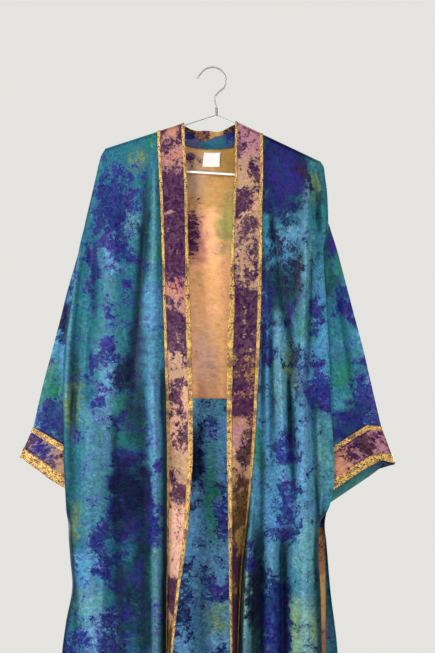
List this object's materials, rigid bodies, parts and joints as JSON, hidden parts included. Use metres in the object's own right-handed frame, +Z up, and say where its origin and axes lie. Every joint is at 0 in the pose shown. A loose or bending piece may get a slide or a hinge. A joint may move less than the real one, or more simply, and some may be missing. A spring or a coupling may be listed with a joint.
{
  "type": "kimono on a wire hanger",
  "caption": "Long open-front kimono robe of dyed silk with wide sleeves, a contrast neckband and cuffs edged in gold, hanging on a steel wire hanger.",
  "frame": {"origin": "inside of the crown of the hanger's hook, where a rail or peg carries it", "axes": "+Z up, the open front faces -Y, +X towards the wearer's left sleeve"},
  "size_m": [0.7133, 0.0956, 1.375],
  "materials": {
    "silk": "satin dyed silk, teal with indigo and violet blooms",
    "band_silk": "satin dyed silk, peach and ochre with plum blooms",
    "edging": "woven gold edging with small dark scrolls",
    "lining_silk": "thin plain orange silk with a soft tint",
    "inner_silk": "blue silk on the inside of the neckband",
    "label": "blank white woven label",
    "steel": "bright drawn steel wire"
  },
  "bodies": {
    "root": {"front_right": "silk", "front_left": "silk", "back": "silk", "sleeve_right": "silk", "sleeve_left": "silk", "neckband_right": "band_silk", "neckband_left": "band_silk", "neckband_back": "band_silk", "cuff_right": "band_silk", "cuff_left": "band_silk", "band_edging_free_right": "edging", "band_edging_seam_right": "edging", "band_edging_free_left": "edging", "band_edging_seam_left": "edging", "collar_edging_seam": "edging", "collar_edging_top": "edging", "cuff_edging_seam_right": "edging", "cuff_edging_hem_right": "edging", "cuff_edging_seam_left": "edging", "cuff_edging_hem_left": "edging", "neckband_back_facing": "inner_silk", "back_yoke_lining": "lining_silk", "neck_label": "label", "slit_facing_right": "lining_silk", "slit_facing_left": "lining_silk", "hanger_hook": "steel", "hanger_collar": "steel", "hanger_arm_right": "steel", "hanger_arm_left": "steel", "hanger_tip_right": "steel", "hanger_tip_left": "steel", "hanger_bar": "steel"}
  },
  "joints": []
}
